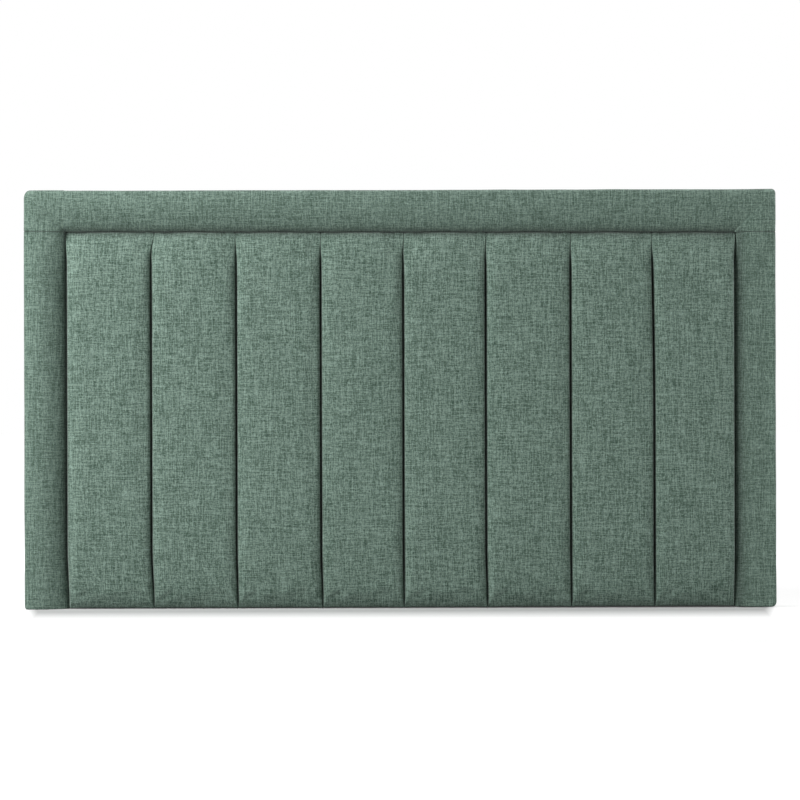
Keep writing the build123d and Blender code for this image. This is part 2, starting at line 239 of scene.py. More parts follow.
def cloth_material(name, contrast):
    """Melange plain weave on the UV map called cloth, with painted shade where a darkening attribute is more.
    """
    material, tree, shader = new_material(name)
    uv = made(tree, "ShaderNodeUVMap", {}, uv_map="cloth").outputs["UV"]
    across, up, _ = parted(tree, uv)
    wave = cloudy(tree, uv, waves_to_a_metre)
    other_wave = cloudy(tree, joined(tree, up, across, 3.7), waves_to_a_metre)
    across = arithmetic(tree, "MULTIPLY_ADD", wave, yarn_wander, across)
    up = arithmetic(tree, "MULTIPLY_ADD", other_wave, yarn_wander, up)

    warp_place = arithmetic(tree, "DIVIDE", across, yarn_pitch)
    weft_place = arithmetic(tree, "DIVIDE", up, yarn_pitch)
    warp_number = arithmetic(tree, "FLOOR", warp_place)
    weft_number = arithmetic(tree, "FLOOR", weft_place)
    crossing = arithmetic(tree, "ABSOLUTE", arithmetic(tree, "ADD", warp_number, weft_number))
    on_top = arithmetic(tree, "MODULO", crossing, 2.0)

    value = blend(tree, on_top, yarn_tone(tree, up, warp_number, 11.3),
                  yarn_tone(tree, across, weft_number, 47.9))
    spread = arithmetic(tree, "MULTIPLY_ADD", value, contrast, 0.5 - contrast / 2)
    spread = made(tree, "ShaderNodeClamp", {0: spread}).outputs[0]
    tone = arithmetic(tree, "POWER", spread, pale_yarns_rarer)
    height = blend(tree, on_top, arithmetic(tree, "PINGPONG", warp_place, 0.5),
                   arithmetic(tree, "PINGPONG", weft_place, 0.5))
    # Painted shade: an attribute darkens the cloth's colour towards black near the seams.
    painted_shade = made(tree, "ShaderNodeAttribute", {}, attribute_name="painted_shade").outputs["Fac"]
    colour = between(tree, tone, yarn_dark, yarn_pale)
    set_inputs(tree, shader, {
        "Base Color": between(tree, painted_shade, colour, (0, 0, 0, 1)),
        "Roughness": 0.85,
        "Specular IOR Level": 0.35,
        "Sheen Weight": 0.15,
        "Sheen Roughness": 0.6,
    })
    raised(tree, shader, height, 0.35 * mm, 0.5)
    return material


upholstery = cloth_material("upholstery cloth", contrast=4.8)
border_cloth = cloth_material("border cloth", contrast=3.4)
print("yarns to a metre", round(1 / yarn_pitch))

# %% [markdown]
# ## Helpers for meshes
# An operator acts on all that is selected, so a piece is selected alone before one is used. Points
# are read and written as one array, which is far quicker than one by one.

# %% Mesh helpers
def select_only(piece):
    """Selects one piece and nothing else."""
    bpy.ops.object.select_all(action="DESELECT")
    piece.select_set(True)
    bpy.context.view_layer.objects.active = piece


def modified(piece, kind, **settings):
    """Gives a piece a modifier with its settings, and applies it."""
    select_only(piece)
    modifier = piece.modifiers.new(kind.lower(), kind)
    for name, value in settings.items():
        setattr(modifier, name, value)
    bpy.ops.object.modifier_apply(modifier=modifier.name)


def tidy_mesh(piece, merge=0.01 * mm):
    """Merges doubles, turns all faces outwards and shades the piece smooth."""
    select_only(piece)
    bpy.ops.object.mode_set(mode="EDIT")
    bpy.ops.mesh.select_all(action="SELECT")
    bpy.ops.mesh.remove_doubles(threshold=merge)
    bpy.ops.mesh.normals_make_consistent(inside=False)
    bpy.ops.object.mode_set(mode="OBJECT")
    bpy.ops.object.shade_smooth()


def points_of(piece, field="co"):
    """A mesh's points as an array, or their normals."""
    found = np.empty(len(piece.data.vertices) * 3)
    piece.data.vertices.foreach_get(field, found)
    return found.reshape(-1, 3)


def put_points(piece, points):
    """Writes an array of points back to a mesh."""
    piece.data.vertices.foreach_set("co", points.astype(np.float32).ravel())
    piece.data.update()


def lay_cloth(mesh, places):
    """Gives each corner of a face its place on the flat cloth, which the weave reads."""
    mesh.uv_layers.new(name="cloth").uv.foreach_set("vector", np.array(places, np.float32).ravel())


# %% [markdown]
# ## Where the seams really run
# A sewn seam is never dead straight. In the photograph the seven seams between the channels, and
# the two lines where the channels meet the border, drift by a few millimetres between the top
# rail, the middle and the foot. Each seam has three drifts here, in millimetres to the right, and
# a smooth curve through them. The level seam under the rail stands a little high, the more so on
# the left, and sags slightly at every channel seam.

# %% Seam lines
seam_drifts = [
    (-1.6, 0.0, 4.0),
    (8.0, 2.6, 6.8),
    (3.9, 5.7, 7.9),
    (7.8, 7.6, 10.5),
    (7.8, 5.8, 6.4),
    (5.6, 4.0, 6.6),
    (8.2, 6.5, 7.6),
    (2.8, 6.6, 7.2),
    (4.0, 1.9, 0.4),
]
seam_rises = (1.6 * mm, 1.8 * mm)
seam_sag = 0.15 * mm
seam_bend = (-45 * mm, 0)
long_bend_seam = 7
long_bend = (-320 * mm, 60 * mm)
foot_bend = 110 * mm


def eased(value, low, high):
    """0 below low, 1 above high and a smooth rise between."""
    share = np.clip((value - low) / (high - low), 0, 1)
    return share * share * (3 - 2 * share)


def seam_drift(number, z):
    """How far a seam stands to the right of its even place at each height."""
    top, middle, foot = [drift * mm for drift in seam_drifts[number]]
    upper = eased(z - seam_z, *(long_bend if number == long_bend_seam else seam_bend))
    lower = 1 - eased(z, 0, foot_bend)
    return middle + (top - middle) * upper + (foot - middle) * lower


def seam_rise(x, z):
    """How far the rail's lower seam stands above its even place, at points near that seam."""
    share = np.clip(x / channel_edge_x, -1.1, 1.1)
    sag = np.cos(2 * math.pi * (x - channel_edge_x) / channel_width) * (np.abs(share) < 1)
    near = 1 - eased(np.abs(z - seam_z), 0, 60 * mm)
    return near * (seam_rises[0] + seam_rises[1] * share - seam_sag * sag)


print("seams at mid height, mm to the right", [middle for _, middle, _ in seam_drifts])


# %% [markdown]
# ## One channel, blown up
# Each channel is a strip of foam in a sewn sleeve. The foam's solid is copied and remeshed to even
# squares, and a cloth simulation with air pressure inside swells it until the sleeve is tight. The
# back stays pinned to the panel. The swelling is capped, so the form can't drift from the solid.

# %% Simulate one channel
voxel = 5 * mm
swell_cap = 2.4 * mm
groove_depth = 17 * mm
air_pressure = 4
swelling_frames = 20


def swollen_pad(name, node):
    """A copy of a foam strip, remeshed and swollen under its cloth."""
    piece = placed(name, nodes[node].data.copy())
    piece.data.materials.clear()
    tidy_mesh(piece)
    bpy.ops.mesh.customdata_custom_splitnormals_clear()
    piece.data.remesh_voxel_size = voxel
    bpy.ops.object.voxel_remesh()
    start = points_of(piece)
    held = piece.vertex_groups.new(name="held")
    pinned = np.nonzero(start[:, 1] > crown_y + groove_depth)[0]
    held.add(pinned.tolist(), 1.0, "REPLACE")
    cloth = piece.modifiers.new("cloth", "CLOTH")
    cloth.settings.use_pressure = True
    cloth.settings.uniform_pressure_force = air_pressure
    cloth.settings.effector_weights.gravity = 0
    cloth.settings.vertex_group_mass = held.name
    for step in range(1, swelling_frames + 1):
        bpy.context.scene.frame_set(step)
    bpy.ops.object.modifier_apply(modifier=cloth.name)
    bpy.context.scene.frame_set(1)
    moved = points_of(piece) - start
    reach = np.linalg.norm(moved, axis=1, keepdims=True)
    put_points(piece, start + moved * np.minimum(1, swell_cap / np.maximum(reach, 1e-9)))
    print("swelling, mm: mean", round(reach.mean() * 1000, 2), "most", round(reach.max() * 1000, 2))
    modified(piece, "SUBSURF", levels=1, render_levels=1)
    bpy.ops.object.shade_smooth()
    return piece


pad_pattern = swollen_pad("channel_pad_1", "channel_foam_1")
print("channel pad", len(pad_pattern.data.vertices), "points")

# %% [markdown]
# ## How cloth lies on a channel
# The weave has to follow the sleeve over its shoulders, so every point gets its place on the flat
# cloth, further out by the length that the curve takes up. The shoulders are tighter than the
# foam's own, because the sleeve is pulled over it, so points near a side are drawn to it. A fade
# and a bell are the two curves that shape whatever is pushed or darkened from here on.

# %% Cloth on a channel
half_width = channel_width / 2
shoulder_radius, end_radius, foot_radius = 14 * mm, 12 * mm, 22 * mm
shoulder_shares = (0.5, 0.48)
shoulder_reach = 20 * mm


def faded(distance, reach):
    """1 at no distance, and a fall that slows down to 0 at a reach."""
    return np.clip(1 - distance / reach, 0, 1) ** 2


def bell(distance, width):
    """1 at no distance, and a fall on both sides in the form of a bell."""
    return np.exp(-((distance / width) ** 2))


def paint_shade(piece, darkness):
    """Writes the painted shade at each point: how much darker the cloth is drawn near a seam."""
    layer = piece.data.attributes.new("painted_shade", "FLOAT", "POINT")
    layer.data.foreach_set("value", darkness.astype(np.float32))


def dress(piece, material):
    """Gives a piece its one material and its body to ride on."""
    piece.data.materials.clear()
    piece.data.materials.append(material)
    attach(piece, "root")


def cloth_places(x, y, z):
    """Places on the flat cloth of points on a pad, from its middle across and from the floor up."""
    drop = np.maximum(y - crown_y, 0)

    def wrapped(beyond, radius):
        share = np.clip(beyond / radius, 0, 1)
        wall = eased(share, 0.97, 1) * np.maximum(drop - radius, 0)
        return radius * (np.arcsin(share) - share) + wall

    across = x + np.sign(x) * wrapped(np.abs(x) - (half_width - shoulder_radius), shoulder_radius)
    up = z + wrapped(z - (seam_z - end_radius), end_radius)
    up = up - wrapped(channel_foot_z + foot_radius - z, foot_radius)
    return np.stack([across, up], axis=1)


def narrowed(x):
    """Tightens a pad's shoulders by pulling them to its sides, the left one a little less."""
    from_side = half_width - np.abs(x)
    share = np.where(x < 0, *shoulder_shares)
    return np.sign(x) * (half_width - from_side * (1 - (1 - share) * bell(from_side, shoulder_reach)))


print("cloth over a channel", round(1000 * (channel_width + (math.pi - 2) * shoulder_radius), 1), "mm")

# %% [markdown]
# ## Eight channels from one
# The other channels are copies with their own meshes. Each is then fitted between its two seams:
# the sides follow the drifting seam lines and draw in along the middle, so the seam opens into a
# dark groove there and closes at both ends. The crown falls away towards the rail, where the
# stitches hold the sleeve down, and a little towards the foot.

# %% Fit the channels
grooves = (0.75 * mm, 0.25 * mm)
end_groove = 0.1 * mm
end_gap = 0.5 * mm
scallop = 0.7 * mm
nub = 0.8 * mm
pad_foot_z = 0.9 * mm
top_dip, top_dip_reach = 15 * mm, 70 * mm
foot_dip, foot_dip_reach = 8 * mm, 150 * mm
side_dip, side_dip_reach = 11 * mm, 80 * mm
left_dip, left_dip_reach = 8 * mm, 28 * mm
foot_rise, foot_rise_reach = 1.3 * mm, 60 * mm
groove_fill = 0.58
# Strengths of the painted shade under the rail's seam and in the grooves.
rail_seam_painted_shade, groove_painted_shade = 0.45, 0.6
cloth_steps = np.array((0.31, 0.173))


def fit_channel(piece, number):
    """Moves a pad from the first channel's place between the seams of another, and lays its cloth."""
    low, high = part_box("channel_foam_1")
    x, y, z = points_of(piece).T
    x = np.clip((x - (low.x + high.x) / 2) * channel_width / (high.x - low.x), -half_width, half_width)
    z = np.clip(pad_foot_z + (z - low.z) * (seam_z - pad_foot_z) / (high.z - low.z), pad_foot_z, seam_z)
    y = panel_front_y - (panel_front_y - y) * crown_height / (panel_front_y - y.min())
    y = np.minimum(y, panel_front_y)
    cloth = cloth_places(x, y, z)
    cloth[:, 0] += narrowed(x) - x
    cloth += number * cloth_steps
    x = narrowed(x)

    fallen = y - crown_y
    from_side, from_seam = half_width - np.abs(x), seam_z - z
    dip = top_dip * faded(from_seam, top_dip_reach) + foot_dip * faded(z, foot_dip_reach)
    dip += side_dip * (x / half_width) ** 2 * (1 - eased(from_seam, 0, side_dip_reach))
    if number == 1:
        dip += left_dip * faded(x + half_width, left_dip_reach)
    y = y + (panel_front_y - y) / crown_height * dip
    shallow = (1 - eased(from_side, 8 * mm, 22 * mm)) * (1 - eased(from_seam, 20 * mm, 62 * mm))
    y = y - groove_fill * shallow * fallen * (1 - eased(fallen, 12 * mm, 24 * mm))
    deep = eased(y - crown_y, 1.2 * groove_depth, 2 * groove_depth)
    x = x + np.sign(x) * from_side * deep * (1 - eased(from_side, 1 * mm, 3 * mm))
    z = z + from_seam * deep * (1 - eased(from_seam, 1 * mm, 3 * mm))

    open_part = eased(z, 5 * mm, 90 * mm) * eased(seam_z - z, 18 * mm, 62 * mm)
    pull = (end_groove + (np.where(x < 0, *grooves) - end_groove) * open_part) * (1 - deep)
    pull = np.sign(x) * pull * (1 - eased(from_side, 0, 16 * mm))
    share = (x + half_width) / channel_width
    drift = seam_drift(number - 1, z) * (1 - share) + seam_drift(number, z) * share
    fitted_x = channel_edge_x + (number - 0.5) * channel_width + x + drift - pull
    at_seam = bell(from_side, 7 * mm) * (1 - deep)
    z = z - (end_gap * (1 - deep) + scallop * at_seam) * eased(z, seam_z - 25 * mm, seam_z)
    z = z - nub * at_seam * (1 - eased(z, channel_foot_z, 20 * mm))
    z = z + foot_rise * np.clip(fitted_x / edge_x, 0, 1) * (1 - eased(z, 0, foot_rise_reach))
    # Painted shade: the cloth is drawn darker just under the rail's seam and deep in the grooves.
    rail_seam_shade = rail_seam_painted_shade * bell(seam_z - z, 8 * mm)
    groove_shade = groove_painted_shade * eased(fallen, 9 * mm, 16 * mm) * (from_side < 8 * mm) * open_part
    paint_shade(piece, np.maximum(rail_seam_shade, groove_shade))
    put_points(piece, np.stack([fitted_x, y, z + seam_rise(fitted_x, z)], axis=1))

    corners = np.empty(len(piece.data.loops), np.int32)
    piece.data.loops.foreach_get("vertex_index", corners)
    lay_cloth(piece.data, cloth[corners])


pads = [pad_pattern]
for number in range(2, channel_count + 1):
    pads.append(placed(f"channel_pad_{number}", pad_pattern.data.copy()))
for number, pad in enumerate(pads, start=1):
    fit_channel(pad, number)
    dress(pad, upholstery)
    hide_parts(f"channel_cover_{number}", f"channel_foam_{number}")
print("channels", len(pads), "faces each", len(pad_pattern.data.polygons))

# %% [markdown]
# ## Sheets from rows of points
# Cut pieces of cloth are grids: rows of points with a place on the flat cloth for each. One helper
# turns such rows into a mesh with the UV map that the cloth reads, and another gives the points
# of a line whose corners are rounded, which is how every folded or padded section here is drawn.

# %% Grid helpers
def rounded(corners, step):
    """Points about a step apart along a line of corners, each an x, a y and a radius."""
    points = [np.array(corners[0][:2])]

    def run_to(end):
        count = max(1, round(np.linalg.norm(end - points[-1]) / step))
        points.extend(np.linspace(points[-1], end, count + 1)[1:])

    for before, (*corner, radius), after in zip(corners, corners[1:], corners[2:]):
        middle = np.array(corner)
        inward, outward = np.array(before[:2]) - middle, np.array(after[:2]) - middle
        inward, outward = inward / np.linalg.norm(inward), outward / np.linalg.norm(outward)
        turn = math.pi - math.acos(np.clip(inward @ outward, -1, 1))
        reach = radius * math.tan(turn / 2)
        run_to(middle + inward * reach)
        if radius > 0:
            bisector = (inward + outward) / np.linalg.norm(inward + outward)
            centre = middle + bisector * radius / math.cos(turn / 2)
            spoke = points[-1] - centre
            square = np.array([-spoke[1], spoke[0]])
            side = np.sign(square @ (middle + outward * reach - centre))
            steps = max(3, math.ceil(turn * radius / step))
            for angle in np.linspace(0, side * turn, steps + 1)[1:]:
                points.append(centre + math.cos(angle) * spoke + math.sin(angle) * square)
    run_to(np.array(corners[-1][:2]))
    return np.array(points)


def lengths_along(points):
    """How far along a line each of its points is."""
    return np.concatenate([[0], np.cumsum(np.linalg.norm(np.diff(points, axis=0), axis=1))])


def grid_piece(name, rows, cloth, closed=False):
    """A mesh from rows of points and their places on the flat cloth; closed makes a capped tube."""
    count, width = rows.shape[:2]
    faces, places = [], []
    for row in range(count - 1):
        for column in range(width if closed else width - 1):
            start, last = row * width, column == width - 1
            after = 0 if last else column + 1
            faces.append((start + column, start + after, start + width + after, start + width + column))
            step = cloth[row, 1] - cloth[row, 0]
            ends = [cloth[line, column] + step if last else cloth[line, after] for line in (row, row + 1)]
            places += [cloth[row, column], *ends, cloth[row + 1, column]]
    if closed:
        faces += [tuple(range(width)), tuple(range((count - 1) * width, count * width))]
        places += [*cloth[0], *cloth[-1]]
    mesh = bpy.data.meshes.new(name)
    mesh.from_pydata(rows.reshape(-1, 3).tolist(), [], faces)
    lay_cloth(mesh, places)
    mesh.validate()
    return placed(name, mesh)


# %% [markdown]
# ## The cloth under the foot
# At the foot the cloth turns under the frame and up its back, where the dust cover's staples hold
# it. Each length is one folded strip, drawn as a rounded line in profile and given its thickness
# by a Solidify modifier. A long strip belongs to the channels and two short ones to the border's
# sides, because those are other pieces of cloth.

# %% Hems of the foot
hem_top_z = 25 * mm
hem_middle = cloth_thickness / 2
hem_thickness = 0.98 * cloth_thickness
hem_gap = 0.3 * mm
hem_inset = 2.5 * mm
profile = rounded(
    [
        (panel_front_y - 6 * mm, channel_foot_z + hem_middle, 0),
        (hem_back_y - hem_middle, channel_foot_z + hem_middle, 2.2 * mm),
        (hem_back_y - hem_middle, hem_top_z, 0),
    ],
    3 * mm,
)
hem_length = lengths_along(profile)


def foot_hem(name, left_x, right_x, material):
    """A strip of cloth folded under the frame between two places across."""
    across = np.linspace(left_x, right_x, round((right_x - left_x) / (5 * mm)) + 1)
    rows = np.array([[(x, y, z) for x in across] for y, z in profile])
    cloth = np.array([[(x, 20 * mm - along) for x in across] for along in hem_length])
    hem = grid_piece(name, rows, cloth)
    modified(hem, "SOLIDIFY", thickness=hem_thickness, offset=0)
    tidy_mesh(hem)
    dress(hem, material)


foot_hem("channel_hem", channel_edge_x + hem_gap, -channel_edge_x - hem_gap, upholstery)
foot_hem("border_hem_left", hem_inset - edge_x, channel_edge_x - hem_gap, border_cloth)
foot_hem("border_hem_right", hem_gap - channel_edge_x, edge_x - hem_inset, border_cloth)
print("hems", round(float(hem_length[-1]) * 1000, 1), "mm of cloth round the foot")

# %% [markdown]
# ## The border's section
# The border is a bolster. Cut across, its crown is highest a third of the way in from the outer
# edge, rolls tightly over the outer side and softly down to the channels. The cloth then runs
# back over the side of the frame and ends in a hem on the back. The section is one closed line:
# outside first, then back along the panel, round the pocket that the batten fills, and along the
# frame to the hem.

# %% Border section
peak_height, peak_inset = 39 * mm, 22 * mm
outer_height, outer_radius = 35.5 * mm, 8 * mm
inner_height, inner_radius = 21 * mm, 18 * mm
crown_radius = 30 * mm
side_middle = 20 * mm
hem_reach = 25 * mm
batten_low, batten_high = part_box("border_left_batten")
batten_outer = batten_low.x + edge_x
batten_inner = batten_high.x + edge_x
batten_height = panel_front_y - batten_low.y
hem_depth = panel_front_y - hem_back_y
frame_depth = panel_front_y - frame_back_y


def crown_falls(inset):
    """How far the crown falls from its peak to its outer and its inner edge, as two shares."""
    return faded(inset, peak_inset), faded(border_width - inset, border_width - peak_inset)


def crown_corner(inset):
    """A corner of the crown's line, at a distance in from the outer edge."""
    outer, inner = crown_falls(inset)
    height = peak_height - (peak_height - outer_height) * outer - (peak_height - inner_height) * inner
    return inset, height, crown_radius


outside = rounded(
    [
        (hem_reach, hem_depth, 0),
        (0, hem_depth, 2 * mm),
        (0, outer_height, outer_radius),
        *[crown_corner(inset * mm) for inset in (14, 25, 36, 48, 60)],
        (border_width, inner_height, inner_radius),
        (border_width, 0, 0),
    ],
    3.2 * mm,
)
inside = rounded(
    [
        (border_width, 0, 0),
        (batten_inner, 0, 0),
        (batten_inner, batten_height, 0),
        (batten_outer, batten_height, 0),
        (batten_outer, 0, 0),
        (cloth_thickness, 0, 0),
        (cloth_thickness, frame_depth, 0),
        (hem_reach, frame_depth, 0),
        (hem_reach, hem_depth, 0),
    ],
    8 * mm,
)
section = np.concatenate([outside, inside[1:-1]])
is_outside = np.arange(len(section)) < len(outside)
side_point = np.argmin(np.abs(outside - (0, side_middle)).sum(axis=1))
section_along = lengths_along(section)
section_along = section_along - section_along[side_point] - side_middle + outer_height
print("section", len(section), "points,", round(float(lengths_along(outside)[-1]) * 1000), "mm of cloth")

# %% [markdown]
# ## Ends and corners of the border
# The cover is sewn from three parts, and all three are the same section carried along a line, so
# they are grids. Each end is turned in a little, so a seam shows as a thin line. A corner is
# rounded by its own radius in the crown and kept tight over the frame, whose timber is sharp.

# %% Border ends and corners
corner_radii = {-1: 12.5 * mm, 1: 7.5 * mm}
foot_corner_radii = {-1: 4.5 * mm, 1: 9 * mm}
frame_corner_radius, frame_foot_radius = 9 * mm, 3 * mm
seam_turn = 1.4 * mm
foot_turn = 2.4 * mm


def radius_at(depth, crown_radius, frame_radius):
    """A corner's radius round the section: as tight over the frame as the timber needs."""
    plain = min(crown_radius, frame_radius)
    return plain + (crown_radius - plain) * eased(depth, 0, 12 * mm)


def drawn_in(distance):
    """The section with its outside drawn in, but never through the cloth where that is thin."""
    along = np.roll(section, -1, axis=0) - np.roll(section, 1, axis=0)
    normal = np.stack([along[:, 1], -along[:, 0]], axis=1)
    normal /= np.maximum(np.linalg.norm(normal, axis=1, keepdims=True), 1e-9)
    limit = np.where(section[:, 1] < 0, 0.8 * cloth_thickness, border_width)
    return section + normal * (np.minimum(distance, limit) * is_outside)[:, None]


def end_stations(turn):
    """Sections of an end that is turned in by a quarter round, each with its distance from the end."""
    angles = [math.radians(degrees) for degrees in (0, 22, 45, 68, 90)]
    return [(drawn_in(turn * (1 - math.sin(angle))), turn * (1 - math.cos(angle))) for angle in angles]


def rounded_corner(along, inset, corner_radius):
    """Distances from the two outer edges, for a point some way along its run, with the corner rounded."""
    arc = np.maximum(corner_radius - inset, 0)
    inside_arc = (along < corner_radius) & (arc > 0)
    share = np.where(inside_arc, (corner_radius - along) / np.maximum(arc, 1e-9), 0)
    angle = math.pi / 4 * np.clip(share, 0, 1)
    own = np.where(inside_arc, corner_radius - arc * np.cos(angle), inset)
    other = np.where(inside_arc, corner_radius - arc * np.sin(angle), along)
    return own, other


# %% [markdown]
# ## The border's top
# The top part holds both corners: it runs from one side's level seam, at the foot of the top rail,
# round to the other's. At a corner its two runs meet on the diagonal, as in a picture frame. Rows
# stand close together near the diagonal, where the form turns.

# %% Border top
top_bulges = (1.7 * mm, 0.2 * mm)
fold_step = 0.8 * mm


def top_piece():
    """The top of the border with both corners, from one seam round to the other."""
    turned = end_stations(seam_turn)
    side_shares = [1 - lift / border_width for _, lift in turned]
    side_shares += [*np.linspace(0.95, 0.16, 16), 0.12, 0.09, 0.07, 0.05, 0.035, 0.02, 0.008]
    run_shares = [0.0008, 0.0022, 0.004, 0.006, 0.008, 0.0105, 0.014, *np.linspace(0.02, 1, 108)]
    diagonal = len(side_shares)
    stations = []
    for sign in (-1, 1):
        half = []
        for index, share in enumerate([*side_shares, 0, *run_shares]):
            inset, depth = (turned[index][0] if index < len(turned) else section).T
            radius = radius_at(depth, corner_radii[sign], frame_corner_radius)
            run = border_width if index < diagonal else edge_x
            from_edges = rounded_corner(inset + (run - inset) * share, inset, radius)
            from_side, from_top = from_edges if index < diagonal else from_edges[::-1]
            x, z = sign * (edge_x - from_side), top_z - from_top
            flat_x = sign * (edge_x - section_along) if index <= diagonal else x
            flat_z = top_z - section_along if index >= diagonal else z
            half.append((np.stack([x, panel_front_y - depth, z], axis=1), np.stack([flat_x, flat_z], axis=1)))
        stations += half if sign < 0 else half[-2::-1]
    rows, cloth = [np.array(kind) for kind in zip(*stations)]
    x, z = rows[..., 0], rows[..., 2]
    folded = 1 - eased(x, channel_edge_x - 5 * mm, channel_edge_x - 2 * mm)
    bulge = top_bulges[0] - top_bulges[1] * x / edge_x + fold_step * folded
    rows[..., 2] = z + seam_rise(x, z) + bulge * (1 - eased(top_z - z, 1 * mm, 14 * mm))
    return grid_piece("border_pad_top", rows, cloth, closed=True)


border_pads = {"top": top_piece()}
print("border top", len(border_pads["top"].data.polygons), "faces")

# %% [markdown]
# ## The border's sides
# Each side runs from the foot up to the level seam. Their inner edges follow the drifting seams of
# the outer channels. They aren't padded alike: the left one falls lower towards the channels, and
# the right one is flatter, lower at its peak and higher at its inner edge.

# %% Border sides
peak_dips = {-1: 0 * mm, 1: 9 * mm}
edge_dips = {-1: 9 * mm, 1: -14 * mm}


def side_piece(side):
    """The left or the right side of the border, from the foot up to the seam."""
    sign, seam_number = (-1, 0) if side == "left" else (1, channel_count)
    stations = end_stations(foot_turn)
    stations += [(section, height) for height in np.linspace(8 * mm, seam_z - 6 * mm, 112)]
    stations += [(shape, seam_z - lift) for shape, lift in reversed(end_stations(seam_turn))]
    rows, cloth = [], []
    for shape, height in stations:
        inset, depth = shape.T
        outer, inner = crown_falls(inset)
        crown = peak_height - (peak_height - inner_height) * inner
        dip = (peak_dips[sign] * (1 - outer) + edge_dips[sign] * inner) * eased(seam_z - height, 0, 90 * mm)
        radius = radius_at(depth, foot_corner_radii[sign], frame_foot_radius)
        gap = np.clip(radius - inset, 0, radius)
        z = height + (radius - np.sqrt(radius**2 - gap**2)) * (1 - eased(height, 0, 12 * mm))
        x = sign * (edge_x - inset) + seam_drift(seam_number, z) * eased(inset, 40 * mm, border_width)
        z = z + seam_rise(x, z)
        if side == "right":
            z = z + foot_rise * (1 - eased(height, 0, foot_rise_reach))
        depth = np.where(depth > 0, depth * (1 - dip / crown * is_outside), depth)
        rows.append(np.stack([x, panel_front_y - depth, z], axis=1))
        cloth.append(np.stack([sign * (edge_x - section_along), z], axis=1))
    return grid_piece(f"border_pad_{side}", np.array(rows), np.array(cloth), closed=True)


for side in ("left", "right"):
    border_pads[side] = side_piece(side)
    print("border", side, len(border_pads[side].data.polygons), "faces")

# %% [markdown]
# ## Softening the border
# Foam under cloth is never as even as a drawn section. Every point that shows is pushed in or out
# along its normal by a slow noise, a fraction of a millimetre. Each upper corner gets a shallow
# hollow where the cloth is pulled round it. Shade at the seams is painted into the cloth's colour by
# an attribute, with a painted shadow of the last channel on the right stile.

# %% Border finish
hollows = [
    (edge_x - 34 * mm, top_z - 33 * mm, 1.6 * mm, math.radians(-42)),
    (42 * mm - edge_x, top_z - 46 * mm, 1.4 * mm, math.radians(42)),
]
hollow_length, hollow_width = 17 * mm, 8 * mm
# Strengths of the painted shade at the rail, the level seams and the stiles.
rail_painted_shade, butt_painted_shade, side_painted_shade = 0.3, 0.45, 0.53


def soften(piece, amount, size):
    """Moves the points that show along their normals by a slow, seeded noise."""
    points, normals = points_of(piece), points_of(piece, "normal")
    pushes = np.array([noise.noise(Vector(point) / size) for point in points])
    shows = eased(panel_front_y - points[:, 1], 0, 12 * mm)
    shows *= eased(np.abs(points[:, 2] - seam_z), 2 * mm, 20 * mm)
    put_points(piece, points + normals * (pushes * shows * amount)[:, None])


def dent(points, x, z, depth, lean):
    """Pushes the points round a place back, in a long hollow that leans by an angle."""
    right, up = points[:, 0] - x, points[:, 2] - z
    along = right * math.cos(lean) + up * math.sin(lean)
    across = up * math.cos(lean) - right * math.sin(lean)
    points[:, 1] += depth * bell(along, hollow_length) * bell(across, hollow_width) * (points[:, 1] < 0)


def painted_seam_shade(points):
    """Painted shade: how much darker the cloth is drawn towards the seams at the foot of the rail and inside
    the stiles, where the right one also takes a painted shadow of the last channel.
    """
    x, y, z = points.T
    above = z - seam_rise(x, z) - seam_z
    past_channels = np.abs(x) + channel_edge_x
    on_side = past_channels > 6 * mm
    # Painted shade in the valley above the rail's seam and along the thin level seams.
    rail = rail_painted_shade * bell(above, 10 * mm) * (above > -8 * mm)
    rail = rail * (1 - eased(past_channels, 5 * mm, 18 * mm)) * (1 - on_side * (above < 0))
    butt = butt_painted_shade * bell(above, 1.2 * mm) * on_side
    # Painted shade down the stiles' inner edges; on the right it stands for the last channel's shadow.
    left = bell(x - seam_drift(0, z) - channel_edge_x, 5 * mm)
    from_right = x - seam_drift(channel_count, z) + channel_edge_x
    right = bell(from_right, 16 * mm) * eased(from_right, 0.5 * mm, 5.5 * mm)
    sides = side_painted_shade * np.maximum(left, right) * (1 - eased(above, 2 * mm, 14 * mm))
    return np.maximum.reduce([rail, butt, sides]) * (y < panel_front_y)


for side, piece in border_pads.items():
    tidy_mesh(piece)
    soften(piece, 0.6 * mm, 70 * mm)
    points = points_of(piece)
    if side == "top":
        for hollow in hollows:
            dent(points, *hollow)
        put_points(piece, points)
    paint_shade(piece, painted_seam_shade(points))
    dress(piece, border_cloth)
    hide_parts(f"border_{side}_cover", f"border_{side}_foam")
    print(piece.name, len(piece.data.polygons), "faces")

# %% [markdown]
# ## The dust cover
# The back is closed by a thin black cloth, pressed from loose fibres and stapled all round. It is
# a plain grid with a thickness, and four cylinders cut the holes for the bolts that hold the bed's
# struts.

# %% Dust cover sheet
sheet_low, sheet_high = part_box("dust_cover")
sheet_size = (sheet_high.x - sheet_low.x, sheet_high.z - sheet_low.z)
sheet_thickness = 0.5 * mm
bolt_low, bolt_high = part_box("tee_nuts")
bolt_radius = 11 * mm
bolt_x = bolt_high.x - bolt_radius
bolt_levels = (bolt_low.z + bolt_radius, bolt_high.z - bolt_radius)
hole_radius = 7 * mm

